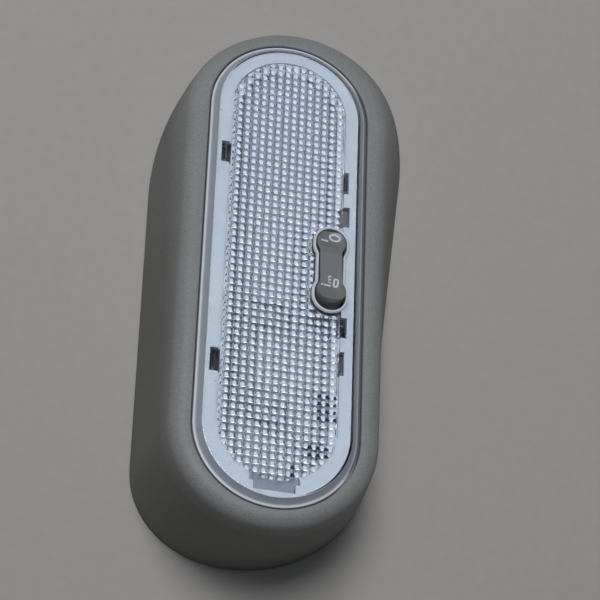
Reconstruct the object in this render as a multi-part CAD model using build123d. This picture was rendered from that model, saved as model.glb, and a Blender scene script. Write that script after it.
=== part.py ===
"""Surface-mounted car dome light: wedge housing, prismatic lens, reflector tray, rocker switch, bulb.

Millimetres. X runs across the lamp, Y along it toward the thin end, Z up from the roof face to the lens.
Most pieces are drawn in the lens frame, whose Z is square to the tilted lens, and then set on the housing.
"""
import math
import os

from build123d import *

os.makedirs("parts", exist_ok=True)

# Housing, driving sizes
BASE_LENGTH = 157.4
BASE_HALF_FAR = 36.2
BASE_HALF_NEAR = 33.1
BASE_SIDES_END_FAR = (25.0, 40.0)
BASE_SIDES_END_NEAR = (-54.5, -46.0)
BASE_TIP_FAR_X = 2.0
BASE_TIP_NEAR_X = -4.0
BASE_FULLNESS_NEAR = (0.57, 0.58)
BASE_FULLNESS_FAR = (0.55, 0.66)
LENS_TILT = 12.0
LENS_CENTRE_Y = 2.5
RIM_FAR_HEIGHT = 4.43
WALL = 2.4
RIM_ROUND = 4.5
RIM_ARC = 75.0

# Opening in the housing's sloping top, a slot with round ends
OPENING_R = 23.0
OPENING_STRAIGHT = BASE_LENGTH / 2 - 29.0
RIM_WIDTH = 5.8
REBATE_DEPTH = 3.0
LEDGE_DEPTH = 4.6
LEDGE_R = OPENING_R - 1.8
OPENING_EDGE_ROUND = 0.5

# Roof fixing: two webs across the open back, one screw hole in each
SCREW_SPACING = 110.0
SCREW_MIDDLE_Y = -7.0
SCREW_HOLE_R = 2.25
WEB_WIDTH = 12.0
WEB_THICK = 2.2
RIB_THICK = 1.6
RIB_Y = (-40.0, -8.0, 24.0)
RIB_CLEAR = 1.4

# Lens
LENS_FIT = 0.4
LENS_R = OPENING_R - LENS_FIT
LENS_SKIRT = 1.6
LENS_TOP = 1.5
LENS_UNDER = -0.9
LENS_FLAT_R = LENS_R - 2.2
LIP_TOP = -0.2
LIP_WIDTH = 0.9
FIELD_R = LENS_R - 6.4
FIELD_STRAIGHT = OPENING_STRAIGHT - 0.4
FIELD_SHIFT_V = 0.95
PRISM_PITCH_U = 2.22
PRISM_PITCH_V = 2.193
PRISM_SHIFT_U = -0.9
PRISM_SHIFT_V = 0.5
PRISM_DEPTH = 0.9
PRISM_ROOT = 0.1
FIELD_ROOT = 0.6
ROCKER_LAND = 0.95
COLLAR_WIDTH = 0.7
COLLAR_HEIGHT = 0.5
LEG_PLACES = [(-17.9, 33.7), (-17.9, -31.8), (16.9, 29.6), (16.9, -27.7)]
LEG_LENGTH = 5.0
LEG_HALF = 0.45
HOOK_REACH = 1.5
HOOK_BOTTOM = -4.2

# Reflector tray
FLANGE_R = LENS_R - 2.5
TRAY_SHIFT_V = 0.6
FLANGE_TOP = -1.0
FLANGE_THICK = 2.0
FLANGE_STEP_W = -1.95
TROUGH_R = FIELD_R - 1.8
TROUGH_FLOOR = -13.5
TRAY_WALL = 1.5
TRAY_CLEAR_Z = 2.8
SLOT_PLACES = [(-17.5, 33.7, 2.9, 6.8), (-17.5, -31.8, 2.9, 7.0)]
SLOT_PLACES += [(16.7, 29.6, 2.2, 7.0), (16.7, -27.7, 2.2, 7.2)]
SLOT_PLACES += [(16.6, 18.5, 3.4, 6.4), (16.6, -16.6, 3.4, 6.2)]
FLOOR_HOLES = [(10.6, -37.5), (10.6, -53.0)]
FLOOR_HOLE_SIZE = (4.5, 3.2)
NOTCH_HALF = 6.8
NOTCH_STEP = 1.1
NOTCH_END_V = OPENING_STRAIGHT + FLANGE_R - TRAY_SHIFT_V - 1.5
NOTCH_STEP_V = NOTCH_END_V - 2.4
NOTCH_START_V = NOTCH_END_V - 6.0
NOTCH_SHELF_W = -2.9
TONGUE_HALF = 6.0
TONGUE_LOW = -5.45
TONGUE_ROOT_V = OPENING_STRAIGHT + LEDGE_R - 3.1
TONGUE_STEP_V = TONGUE_ROOT_V + 1.6
TONGUE_END_V = TONGUE_ROOT_V + 4.5
SPRING_HALF = 5.6
SPRING_THICK = 0.6

# Rocker switch, three positions; modelled with its far end pressed in, as photographed
ROCKER_U = 12.9
ROCKER_LOBE_R = 4.0
ROCKER_LOBE_V = 7.95
ROCKER_WAIST = 3.1
ROCKER_TIP_R = 12.95
ROCKER_REST_TILT = 7.0
ROCKER_GAP = 0.35
ROCKER_END_GAP = 0.8
ROCKER_SWING_GAP = 0.6
PIVOT_W = -3.2
PIVOT_R = 1.2
PIVOT_FIT = 0.06
POCKET_WALL = 1.4
TRUNNION_REACH = 1.2

# Brass conductors
STRIP_THICK = 0.6
STRIP_WIDTH = 2.4
SLOT_FIT = 0.1

# Tubular bulb
BULB_LENGTH = 36.0
BULB_R = 5.0
BULB_CAP_R = 4.2
CAP_NOSE_R = 1.2
CAP_CONE = 3.0
CAP_LENGTH = 7.0
BULB_U = -3.0
BULB_V = -28.0
BULB_W = -7.6

# Plug socket
SOCKET_U = 8.0
SOCKET_V = -46.0
SOCKET_SIZE = (15.0, 9.0, 9.0)
PIN_PITCH = 4.0

# Places worked out from the driving sizes
TILT = math.radians(LENS_TILT)
RIM_R = OPENING_R + RIM_WIDTH
LENS_CENTRE_Z = RIM_FAR_HEIGHT + (OPENING_STRAIGHT + RIM_R) * math.sin(TILT)
LENS_PLANE = Plane(
    origin=(0, LENS_CENTRE_Y, LENS_CENTRE_Z),
    x_dir=(1, 0, 0),
    z_dir=(0, math.sin(TILT), math.cos(TILT)),
)
FLANGE_UNDER = FLANGE_TOP - FLANGE_THICK
TRAY_UNDER = TROUGH_FLOOR - TRAY_WALL
STRIP_W = TRAY_UNDER - STRIP_THICK
BIG = 400.0


def slot_block(radius, straight, low, high):
    """Round-ended block along the lamp, from height low to high in the lens frame."""
    outline = SlotCenterToCenter(2 * straight, 2 * radius, rotation=90)
    return Pos(0, 0, low) * extrude(outline, amount=high - low)


def block(u0, u1, v0, v1, w0, w1):
    """Box between two corners in the lens frame."""
    middle = Pos((u0 + u1) / 2, (v0 + v1) / 2, (w0 + w1) / 2)
    return middle * Box(u1 - u0, v1 - v0, w1 - w0)


def above(height):
    """Everything over a height above the roof face."""
    return Pos(0, 0, height + BIG / 2) * Box(BIG, BIG, BIG)


# Housing: one grey shell lofted from the roof outline to the tilted rim, with screw webs across its back
def rounded_quarter(start, corner, end, fullness):
    """Curve from start to end that leaves and arrives along the sides of the given corner."""
    start, corner, end = Vector(start), Vector(corner), Vector(end)
    return Bezier(start, start + (corner - start) * fullness, end + (corner - end) * fullness, end)


def base_outline(inset):
    """Roof outline: tapering sides and full round ends, moved inward by inset."""
    far_y = BASE_LENGTH / 2 - inset
    near_y = -far_y
    far_x = BASE_HALF_FAR - inset
    near_x = BASE_HALF_NEAR - inset
    far_left, far_right = (-far_x, BASE_SIDES_END_FAR[0]), (far_x, BASE_SIDES_END_FAR[1])
    near_left, near_right = (-near_x, BASE_SIDES_END_NEAR[0]), (near_x, BASE_SIDES_END_NEAR[1])
    far_tip, near_tip = (BASE_TIP_FAR_X, far_y), (BASE_TIP_NEAR_X, near_y)
    edges = [
        Line(far_left, near_left),
        rounded_quarter(near_left, (-near_x + 1, near_y), near_tip, BASE_FULLNESS_NEAR[0]),
        rounded_quarter(near_tip, (near_x - 1, near_y), near_right, BASE_FULLNESS_NEAR[1]),
        Line(near_right, far_right),
        rounded_quarter(far_right, (far_x, far_y), far_tip, BASE_FULLNESS_FAR[1]),
        rounded_quarter(far_tip, (-far_x, far_y), far_left, BASE_FULLNESS_FAR[0]),
    ]
    return make_face(edges)


def rim_outline(radius, drop):
    """Rim outline in the lens plane, lowered by drop, as six edges that pair with the roof outline's."""
    half = OPENING_STRAIGHT
    edges = [
        Line((-radius, half), (-radius, -half)),
        CenterArc((0, -half), radius, 180, 90),
        CenterArc((0, -half), radius, 270, 90),
        Line((radius, -half), (radius, half)),
        CenterArc((0, half), radius, 0, 90),
        CenterArc((0, half), radius, 90, 90),
    ]
    return LENS_PLANE * (Pos(0, 0, -drop) * make_face(edges))


round_drop = RIM_ROUND * (1 - math.cos(math.radians(RIM_ARC)))
shoulder_r = RIM_R - RIM_ROUND * (1 - math.sin(math.radians(RIM_ARC)))
rim_block = slot_block(RIM_R, OPENING_STRAIGHT, -2 * RIM_ROUND, 0)
rim_block = fillet(rim_block.edges().group_by(Axis.Z)[-1], RIM_ROUND)
rim_block &= slot_block(2 * RIM_R, OPENING_STRAIGHT, -round_drop, 1)
outside = loft([base_outline(0), rim_outline(shoulder_r, round_drop)], ruled=True) + LENS_PLANE * rim_block
inside = loft([base_outline(WALL), rim_outline(shoulder_r - WALL, LEDGE_DEPTH)], ruled=True)
mid_wall = loft([base_outline(WALL / 2), rim_outline(shoulder_r - WALL / 2, LEDGE_DEPTH / 2)], ruled=True)

opening = slot_block(LEDGE_R, OPENING_STRAIGHT, -BIG / 4, 5)
opening += slot_block(OPENING_R, OPENING_STRAIGHT, -REBATE_DEPTH, 5)
housing = outside - inside - LENS_PLANE * opening
for rib_y in RIB_Y:
    rib = Pos(0, rib_y, BIG / 2) * Box(BIG, RIB_THICK, BIG) & mid_wall
    housing += rib - LENS_PLANE * slot_block(LEDGE_R + RIB_CLEAR, OPENING_STRAIGHT, -BIG / 4, BIG / 4)
for side in (-1, 1):
    screw_y = SCREW_MIDDLE_Y + side * SCREW_SPACING / 2
    housing += Pos(0, screw_y, WEB_THICK / 2) * Box(BIG, WEB_WIDTH, WEB_THICK) & mid_wall
    housing -= Pos(0, screw_y, 0) * Cylinder(SCREW_HOLE_R, 4 * WEB_THICK)
rim_top = housing.faces().sort_by(Axis((0, 0, 0), LENS_PLANE.z_dir))[-1]
housing = fillet(rim_top.inner_wires()[0].edges(), OPENING_EDGE_ROUND)
export_step(housing, "parts/housing.step")


# Lens: one clear moulding with a bevelled top, a skirt in the rebate, pyramids inside and four hooked legs
def dumbbell(lobe_r, waist, lobe_v=ROCKER_LOBE_V):
    """Two round lobes joined by a narrower waist, blended where they meet."""
    lobes = Pos(0, lobe_v) * Circle(lobe_r) + Pos(0, -lobe_v) * Circle(lobe_r)
    shape = lobes + Rectangle(2 * waist, 2 * lobe_v)
    inner_corners = [v for v in shape.vertices() if abs(v.Y) < lobe_v - 1]
    return fillet(inner_corners, 2.0)


aperture_lobe_r = ROCKER_LOBE_R + ROCKER_GAP
aperture_waist = ROCKER_WAIST + ROCKER_GAP
aperture_end_v = ROCKER_LOBE_V + ROCKER_LOBE_R + ROCKER_END_GAP
aperture_far_v = aperture_end_v - aperture_lobe_r
aperture_near_v = ROCKER_LOBE_V - ROCKER_SWING_GAP


def aperture_outline(grow):
    """Opening for the rocker: its dumbbell with each lobe drawn out as far as it swings, grown all round."""
    lobe_r = aperture_lobe_r + grow
    shape = dumbbell(lobe_r, aperture_waist + grow, aperture_near_v)
    for side in (-1, 1):
        middle_v = side * (aperture_near_v + aperture_far_v) / 2
        shape += Pos(0, middle_v) * Rectangle(2 * lobe_r, aperture_far_v - aperture_near_v)
        shape += Pos(0, side * aperture_far_v) * Circle(lobe_r)
    return shape


def ridges(count, pitch, length):
    """Block whose underside is a row of V ridges side by side along X, each running along Y."""
    half = count * pitch / 2
    points = [(half, BIG / 40), (-half, BIG / 40)]
    for i in range(count):
        left = -half + i * pitch
        points += [(left, LENS_UNDER - PRISM_ROOT), (left + pitch / 2, LENS_UNDER - PRISM_DEPTH)]
    points.append((half, LENS_UNDER - PRISM_ROOT))
    profile = make_face(Polyline(*points, close=True))
    return extrude(Plane.XZ * profile, amount=length / 2, both=True)


across = 2 * math.ceil(FIELD_R / PRISM_PITCH_U + 1) + 1
along = 2 * math.ceil((FIELD_R + FIELD_STRAIGHT) / PRISM_PITCH_V + 1) + 1
field_outline = slot_block(FIELD_R, FIELD_STRAIGHT, LENS_UNDER - 2, LENS_UNDER + FIELD_ROOT)
field_outline = Pos(0, FIELD_SHIFT_V, 0) * field_outline
rocker_land = Pos(ROCKER_U, 0, LENS_UNDER) * extrude(aperture_outline(ROCKER_LAND), amount=5, both=True)
field_outline -= rocker_land
field = ridges(across, PRISM_PITCH_U, 2 * BIG) & Rot(0, 0, 90) * ridges(along, PRISM_PITCH_V, 2 * BIG)
field = (Pos(PRISM_SHIFT_U, PRISM_SHIFT_V, 0) * field) & field_outline

bevel = LENS_R - LIP_WIDTH - LENS_FLAT_R
top_slab = slot_block(LENS_FLAT_R + bevel, OPENING_STRAIGHT, LENS_UNDER, LENS_TOP)
top_edges = top_slab.edges().group_by(Axis.Z)[-1]
top_slab = chamfer(top_edges, LENS_TOP - LIP_TOP + 0.1, bevel)
skirt = slot_block(LENS_R, OPENING_STRAIGHT, -REBATE_DEPTH, LIP_TOP)
lip_edges = skirt.edges().group_by(Axis.Z)[-1]
skirt = fillet(lip_edges, 0.35)
skirt -= slot_block(LENS_R - LENS_SKIRT, OPENING_STRAIGHT, -REBATE_DEPTH, LENS_UNDER)
lens = top_slab + skirt + field

collar = extrude(aperture_outline(COLLAR_WIDTH), amount=LENS_TOP + COLLAR_HEIGHT - LENS_UNDER / 2)
lens += Pos(ROCKER_U, 0, LENS_UNDER / 2) * collar
lens -= Pos(ROCKER_U, 0, 0) * extrude(aperture_outline(0), amount=10, both=True)

half_leg = LEG_LENGTH / 2
for leg_u, leg_v in LEG_PLACES:
    hook_end = leg_u + math.copysign(HOOK_REACH, leg_u)
    hook_u0 = min(leg_u, hook_end)
    hook_u1 = max(leg_u, hook_end)
    lens += block(leg_u - LEG_HALF, leg_u + LEG_HALF, leg_v - half_leg, leg_v + half_leg, HOOK_BOTTOM, 0)
    lens += block(hook_u0, hook_u1, leg_v - half_leg, leg_v + half_leg, HOOK_BOTTOM, FLANGE_UNDER)
export_step(LENS_PLANE * lens, "parts/lens.step")

# Reflector tray: one white moulding hung from the lens, a shallow trough under a slotted flange
pocket_u0 = ROCKER_U - aperture_lobe_r - POCKET_WALL
pocket_u1 = ROCKER_U + aperture_lobe_r + POCKET_WALL
pocket_v = aperture_end_v + POCKET_WALL
pocket_block = block(pocket_u0, pocket_u1, -pocket_v, pocket_v, TRAY_UNDER, FLANGE_TOP)
tray_body = Pos(0, TRAY_SHIFT_V, 0) * slot_block(FLANGE_R, OPENING_STRAIGHT, FLANGE_UNDER, FLANGE_TOP)
tray_body += slot_block(TROUGH_R + TRAY_WALL, FIELD_STRAIGHT, TRAY_UNDER, FLANGE_TOP)
tray_body += pocket_block
trough = slot_block(TROUGH_R, FIELD_STRAIGHT, TROUGH_FLOOR, 1) - pocket_block
pocket = Pos(ROCKER_U, 0, TROUGH_FLOOR) * extrude(aperture_outline(0), amount=1 - TROUGH_FLOOR)
tray = (LENS_PLANE * tray_body) & above(TRAY_CLEAR_Z)
tray -= (LENS_PLANE * trough) & above(TRAY_CLEAR_Z + TRAY_WALL)

cuts = pocket + Pos(0, FIELD_SHIFT_V, 0) * slot_block(FIELD_R + 0.4, FIELD_STRAIGHT, FLANGE_STEP_W, 1)
for slot_u, slot_v, slot_width, slot_length in SLOT_PLACES:
    cuts += Pos(slot_u, slot_v, FLANGE_TOP) * Box(slot_width, slot_length, 8)

cuts += block(-NOTCH_HALF, NOTCH_HALF, -NOTCH_STEP_V, -NOTCH_START_V, NOTCH_SHELF_W, 1)
notch_inner = NOTCH_HALF - NOTCH_STEP
cuts += block(-notch_inner, notch_inner, -NOTCH_END_V, -NOTCH_STEP_V, FLANGE_UNDER - 2, 1)

# Openings in the trough floor beside the plug socket
for hole_u, hole_v in FLOOR_HOLES:
    cuts += Pos(hole_u, hole_v, TROUGH_FLOOR) * Box(FLOOR_HOLE_SIZE[0], FLOOR_HOLE_SIZE[1], 8)

trunnion_half = aperture_waist + TRUNNION_REACH
trunnion_hole = Rot(0, 90, 0) * Cylinder(PIVOT_R + PIVOT_FIT, 2 * trunnion_half + 0.4)
cuts += Pos(ROCKER_U, 0, PIVOT_W) * trunnion_hole

CLIP_HALF = 4.0
CLIP_V = (BULB_V - BULB_LENGTH / 2 + 0.8, BULB_V + BULB_LENGTH / 2 - 0.8)
CONTACT_HALF = 1.5
CONTACT_V = 5.5
for clip_v in CLIP_V:
    clip_slot = Box(2 * (CLIP_HALF + SLOT_FIT), STRIP_THICK + 2 * SLOT_FIT, 6)
    cuts += Pos(BULB_U, clip_v, TROUGH_FLOOR) * clip_slot
for contact_v in (-CONTACT_V, 0, CONTACT_V):
    riser_slot = Box(2 * (CONTACT_HALF + SLOT_FIT), STRIP_THICK + 2 * SLOT_FIT, 6)
    cuts += Pos(ROCKER_U, contact_v, TROUGH_FLOOR - 2) * riser_slot

tongue = block(-TONGUE_HALF, TONGUE_HALF, TONGUE_ROOT_V, TONGUE_STEP_V, TONGUE_LOW, FLANGE_UNDER + 0.2)
tongue += block(-TONGUE_HALF, TONGUE_HALF, TONGUE_STEP_V - 0.2, TONGUE_END_V, TONGUE_LOW, -LEDGE_DEPTH)
tray = tray - LENS_PLANE * cuts + LENS_PLANE * tongue
export_step(tray, "parts/reflector_tray.step")

# Retaining spring: folded steel strip on the tray's near end, hooked under the ledge, grey through the lens
tab_w = NOTCH_SHELF_W + SPRING_THICK / 2
leg_v = -NOTCH_END_V + SPRING_THICK / 2 + 0.2
spring_line = Polyline(
    (-NOTCH_START_V - 0.2, tab_w), (leg_v, tab_w), (leg_v, -LEDGE_DEPTH - 0.7),
    (leg_v - 3.2, -LEDGE_DEPTH - 1.1), (leg_v, -LEDGE_DEPTH - 5.0),
)
spring_section = Plane.YZ * trace(spring_line, SPRING_THICK)
retaining_spring = extrude(spring_section, amount=SPRING_HALF, both=True)
export_step(LENS_PLANE * retaining_spring, "parts/retaining_spring.step")


# Rocker: one moulding with two dished lobes, trunnions and a hollow stem, drawn level and then tipped
def on_rocker(shape):
    """Sets a shape drawn about the level rocker's pivot into the lamp."""
    return LENS_PLANE * (Pos(ROCKER_U, 0, PIVOT_W) * Rot(-ROCKER_REST_TILT, 0, 0) * shape)


ROCKER_SKIRT_Z = -1.4
ROCKER_MIDDLE_Z = 5.4
ROCKER_END_RISE = 1.0
STEM_R = 2.6
STEM_Z = -4.0
BORE_R = 1.6
BORE_TOP_Z = 1.4
rocker = Pos(0, 0, ROCKER_SKIRT_Z) * extrude(dumbbell(ROCKER_LOBE_R, ROCKER_WAIST), amount=12)
rocker &= Rot(0, 90, 0) * Cylinder(ROCKER_TIP_R, 40)
end_y = 11.2
dip_r = (end_y**2 + ROCKER_END_RISE**2) / (2 * ROCKER_END_RISE)
rocker -= Pos(0, 0, ROCKER_MIDDLE_Z + dip_r) * Rot(0, 90, 0) * Cylinder(dip_r, 40)
DISH_R = 3.1
DISH_DEPTH = 0.45
dish_ball_r = (DISH_R**2 + DISH_DEPTH**2) / (2 * DISH_DEPTH)
lobe_top_z = ROCKER_MIDDLE_Z + ROCKER_LOBE_V**2 / (2 * dip_r)
for side in (-1, 1):
    rocker -= Pos(0, side * ROCKER_LOBE_V, lobe_top_z - DISH_DEPTH + dish_ball_r) * Sphere(dish_ball_r)
    rocker -= Pos(0, side * ROCKER_LOBE_V, ROCKER_SKIRT_Z) * extrude(Circle(ROCKER_LOBE_R - 1.2), amount=5.4)
rocker += Pos(0, 0, STEM_Z) * extrude(Circle(STEM_R), amount=ROCKER_SKIRT_Z - STEM_Z + 0.5)
rocker += Rot(0, 90, 0) * Cylinder(PIVOT_R, 2 * trunnion_half)
rocker -= Pos(0, 0, STEM_Z - 1) * extrude(Circle(BORE_R), amount=BORE_TOP_Z - STEM_Z + 1)
export_step(on_rocker(rocker), "parts/switch_rocker.step")

# Detent plunger and its coil spring, which ride in the rocker's stem
PLUNGER_R = 1.52
PLUNGER_TIP_R = 1.2
PLUNGER_TOP_Z = -2.0
PLUNGER_TIP_Z = -6.2
plunger = Pos(0, 0, PLUNGER_TIP_Z + PLUNGER_TIP_R) * extrude(
    Circle(PLUNGER_R), amount=PLUNGER_TOP_Z - PLUNGER_TIP_Z - PLUNGER_TIP_R
)
plunger += Pos(0, 0, PLUNGER_TIP_Z + PLUNGER_TIP_R) * Sphere(PLUNGER_TIP_R)
export_step(on_rocker(plunger), "parts/switch_plunger.step")

SPRING_WIRE_R = 0.16
SPRING_COIL_R = 1.15
SPRING_TURNS = 4
coil_height = BORE_TOP_Z - PLUNGER_TOP_Z - 2 * SPRING_WIRE_R
coil = Helix(pitch=coil_height / SPRING_TURNS, height=coil_height, radius=SPRING_COIL_R)
wire_section = (coil ^ 0) * Circle(SPRING_WIRE_R)
switch_spring = Pos(0, 0, PLUNGER_TOP_Z + SPRING_WIRE_R) * sweep(wire_section, path=coil, is_frenet=True)
export_step(on_rocker(switch_spring), "parts/switch_spring.step")

# Contact blade: flat brass see-saw on a ridge below the plunger, its near end on the earth contact
BLADE_AXIS_W = -10.5
BLADE_RIDGE_R = 0.5
BLADE_HALF_LENGTH = 6.0
BLADE_HALF_WIDTH = 2.2
BLADE_THICK = 0.4
BLADE_REST_TILT = 6.0
BLADE_FIT = 0.02
blade_low = BLADE_RIDGE_R + BLADE_FIT
blade = block(
    -BLADE_HALF_WIDTH, BLADE_HALF_WIDTH,
    -BLADE_HALF_LENGTH, BLADE_HALF_LENGTH, blade_low, blade_low + BLADE_THICK,
)
blade = LENS_PLANE * (Pos(ROCKER_U, 0, BLADE_AXIS_W) * Rot(BLADE_REST_TILT, 0, 0) * blade)
export_step(blade, "parts/contact_blade.step")

# Brass strips: flat runs along the tray's back, tabs folded up through its floor, pins into the socket
CONTACT_TOP_W = -10.66
PIN_LENGTH = 7.0
PIN_HALF = 0.6
HALF_STRIP = STRIP_WIDTH / 2
pin_u = [SOCKET_U - PIN_PITCH, SOCKET_U, SOCKET_U + PIN_PITCH]


def run(u0, v0, u1, v1):
    """Flat strip under the tray between two centre points that share u or v."""
    return block(
        min(u0, u1) - HALF_STRIP, max(u0, u1) + HALF_STRIP,
        min(v0, v1) - HALF_STRIP, max(v0, v1) + HALF_STRIP, STRIP_W, TRAY_UNDER,
    )


def pin(u):
    """Plug pin folded down from a strip's end."""
    return block(
        u - PIN_HALF, u + PIN_HALF,
        SOCKET_V - PIN_HALF, SOCKET_V + PIN_HALF, STRIP_W - PIN_LENGTH, STRIP_W + 0.1,
    )


def bulb_clip(clip_v):
    """Upright plate with a hole that takes the pointed cap of the bulb."""
    plate = Pos(BULB_U, clip_v, 0) * block(
        -CLIP_HALF, CLIP_HALF, -STRIP_THICK / 2, STRIP_THICK / 2, STRIP_W, BULB_W + CLIP_HALF
    )
    inner_depth = 0.8 + STRIP_THICK / 2
    hole_r = CAP_NOSE_R + (BULB_CAP_R - CAP_NOSE_R) * inner_depth / CAP_CONE
    return plate - Pos(BULB_U, clip_v, BULB_W) * Rot(90, 0, 0) * Cylinder(hole_r, 4)


def contact_tab(contact_v):
    """Tab through the pocket floor, folded over into a flat contact."""
    outward = math.copysign(1, contact_v)
    tab = block(-CONTACT_HALF, CONTACT_HALF, -STRIP_THICK / 2, STRIP_THICK / 2, STRIP_W, CONTACT_TOP_W)
    pad = Pos(0, outward * 0.5, 0) * block(
        -CONTACT_HALF, CONTACT_HALF, -0.8, 0.8, CONTACT_TOP_W - STRIP_THICK, CONTACT_TOP_W
    )
    return Pos(ROCKER_U, contact_v, 0) * (tab + pad)


feed_strip = bulb_clip(CLIP_V[0]) + run(BULB_U, CLIP_V[0], pin_u[0], CLIP_V[0])
feed_strip += run(pin_u[0], CLIP_V[0], pin_u[0], SOCKET_V) + pin(pin_u[0])
export_step(LENS_PLANE * feed_strip, "parts/feed_strip.step")

ridge_tab = block(-CONTACT_HALF, CONTACT_HALF, -STRIP_THICK / 2, STRIP_THICK / 2, STRIP_W, BLADE_AXIS_W)
ridge_tab += Pos(0, 0, BLADE_AXIS_W) * Rot(0, 90, 0) * Cylinder(BLADE_RIDGE_R, 2 * CONTACT_HALF)
switched_strip = bulb_clip(CLIP_V[1]) + run(BULB_U, CLIP_V[1], BULB_U, 0) + run(BULB_U, 0, ROCKER_U, 0)
switched_strip += Pos(ROCKER_U, 0, 0) * ridge_tab
export_step(LENS_PLANE * switched_strip, "parts/switched_strip.step")

EARTH_RUN_V = -12.0
earth_strip = contact_tab(-CONTACT_V) + run(ROCKER_U, -CONTACT_V, ROCKER_U, EARTH_RUN_V)
earth_strip += run(ROCKER_U, EARTH_RUN_V, pin_u[1], EARTH_RUN_V)
earth_strip += run(pin_u[1], EARTH_RUN_V, pin_u[1], SOCKET_V) + pin(pin_u[1])
export_step(LENS_PLANE * earth_strip, "parts/earth_strip.step")

DOOR_RUN_U = 17.8
DOOR_RUN_V = -18.0
door_strip = contact_tab(CONTACT_V) + run(ROCKER_U, CONTACT_V, DOOR_RUN_U, CONTACT_V)
door_strip += run(DOOR_RUN_U, CONTACT_V, DOOR_RUN_U, DOOR_RUN_V)
door_strip += run(DOOR_RUN_U, DOOR_RUN_V, pin_u[2], DOOR_RUN_V)
door_strip += run(pin_u[2], DOOR_RUN_V, pin_u[2], SOCKET_V) + pin(pin_u[2])
export_step(LENS_PLANE * door_strip, "parts/door_strip.step")

# Plug socket: black moulding under the tray, four feet against its back, three pins in its open mouth
SOCKET_WALL = 1.2
socket_u, socket_v, socket_w = SOCKET_SIZE
hung = (Align.CENTER, Align.CENTER, Align.MAX)
shroud = Box(socket_u, socket_v, socket_w, align=hung)
socket_mouth = Box(socket_u - 2 * SOCKET_WALL, socket_v - 2 * SOCKET_WALL, socket_w, align=hung)
shroud -= Pos(0, 0, -SOCKET_WALL) * socket_mouth
for foot_u in (-1, 1):
    for foot_v in (-1, 1):
        foot = Box(1.2, 1.6, STRIP_THICK, align=(Align.CENTER, Align.CENTER, Align.MIN))
        shroud += Pos(foot_u * (socket_u / 2 - 0.6), foot_v * (socket_v / 2 - 0.8), 0) * foot
for index in (-1, 0, 1):
    shroud -= Pos(index * PIN_PITCH, 0, 0) * Box(2 * (PIN_HALF + SLOT_FIT), 2 * (PIN_HALF + SLOT_FIT), 6)
shroud = Pos(SOCKET_U, SOCKET_V, STRIP_W) * shroud
export_step(LENS_PLANE * shroud, "parts/connector_shroud.step")

# Heat shield: bright folded sheet on the trough floor under the bulb, with one side turned up
SHIELD_THICK = 0.4
SHIELD_HALF = 6.4
SHIELD_WALL = 6.0
shield_u = BULB_U - SHIELD_HALF
shield_v0 = BULB_V - BULB_LENGTH / 2 + 4.0
shield_v1 = BULB_V + BULB_LENGTH / 2 - 4.0
shield_top = TROUGH_FLOOR + SHIELD_WALL
shield = block(shield_u, BULB_U + SHIELD_HALF, shield_v0, shield_v1, TROUGH_FLOOR, TROUGH_FLOOR + SHIELD_THICK)
shield += block(shield_u, shield_u + SHIELD_THICK, shield_v0, shield_v1, TROUGH_FLOOR, shield_top)
export_step(LENS_PLANE * shield, "parts/heat_shield.step")


# Bulb: glass tube, two pointed metal caps and a coiled filament, drawn along Z and laid along Y
def on_bulb(shape):
    """Sets a shape drawn about the bulb's middle, along Z, into the clips."""
    return LENS_PLANE * (Pos(BULB_U, BULB_V, BULB_W) * Rot(-90, 0, 0) * shape)


GLASS_WALL = 0.7
GLASS_NECK_R = BULB_CAP_R - 0.6
half_bulb = BULB_LENGTH / 2
cap_mouth = half_bulb - CAP_LENGTH
glass_line = [
    (0, -cap_mouth - 2), (GLASS_NECK_R, -cap_mouth - 2), (GLASS_NECK_R, -cap_mouth + 0.6),
    (BULB_R, -cap_mouth + 2.6), (BULB_R, cap_mouth - 2.6), (GLASS_NECK_R, cap_mouth - 0.6),
    (GLASS_NECK_R, cap_mouth + 2), (0, cap_mouth + 2),
]
hollow_neck = GLASS_NECK_R - GLASS_WALL
hollow_r = BULB_R - GLASS_WALL
hollow_line = [(0, -cap_mouth), (hollow_neck, -cap_mouth), (hollow_r, -cap_mouth + 2.8)]
hollow_line += [(hollow_r, cap_mouth - 2.8), (hollow_neck, cap_mouth), (0, cap_mouth)]
glass = revolve(Plane.XZ * make_face(Polyline(*glass_line, close=True)), Axis.Z)
glass -= revolve(Plane.XZ * make_face(Polyline(*hollow_line, close=True)), Axis.Z)

FILAMENT_R = 0.5
LEAD_R = 0.15
filament = Cylinder(FILAMENT_R, 9) + Cylinder(LEAD_R, 2 * cap_mouth)
export_step(on_bulb(filament), "parts/bulb_filament.step")
export_step(on_bulb(glass), "parts/bulb_glass.step")

cap_line = [
    (0, half_bulb), (CAP_NOSE_R, half_bulb), (BULB_CAP_R, half_bulb - CAP_CONE), (BULB_CAP_R, cap_mouth),
    (GLASS_NECK_R, cap_mouth), (GLASS_NECK_R, cap_mouth + 2), (0, cap_mouth + 2),
]
cap = revolve(Plane.XZ * make_face(Polyline(*cap_line, close=True)), Axis.Z)
export_step(on_bulb(cap), "parts/bulb_cap_far.step")
export_step(on_bulb(Rot(180, 0, 0) * cap), "parts/bulb_cap_near.step")
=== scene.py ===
import math

import bmesh
import bpy
import numpy as np
from mathutils import Matrix
from mathutils.geometry import delaunay_2d_cdt


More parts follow.
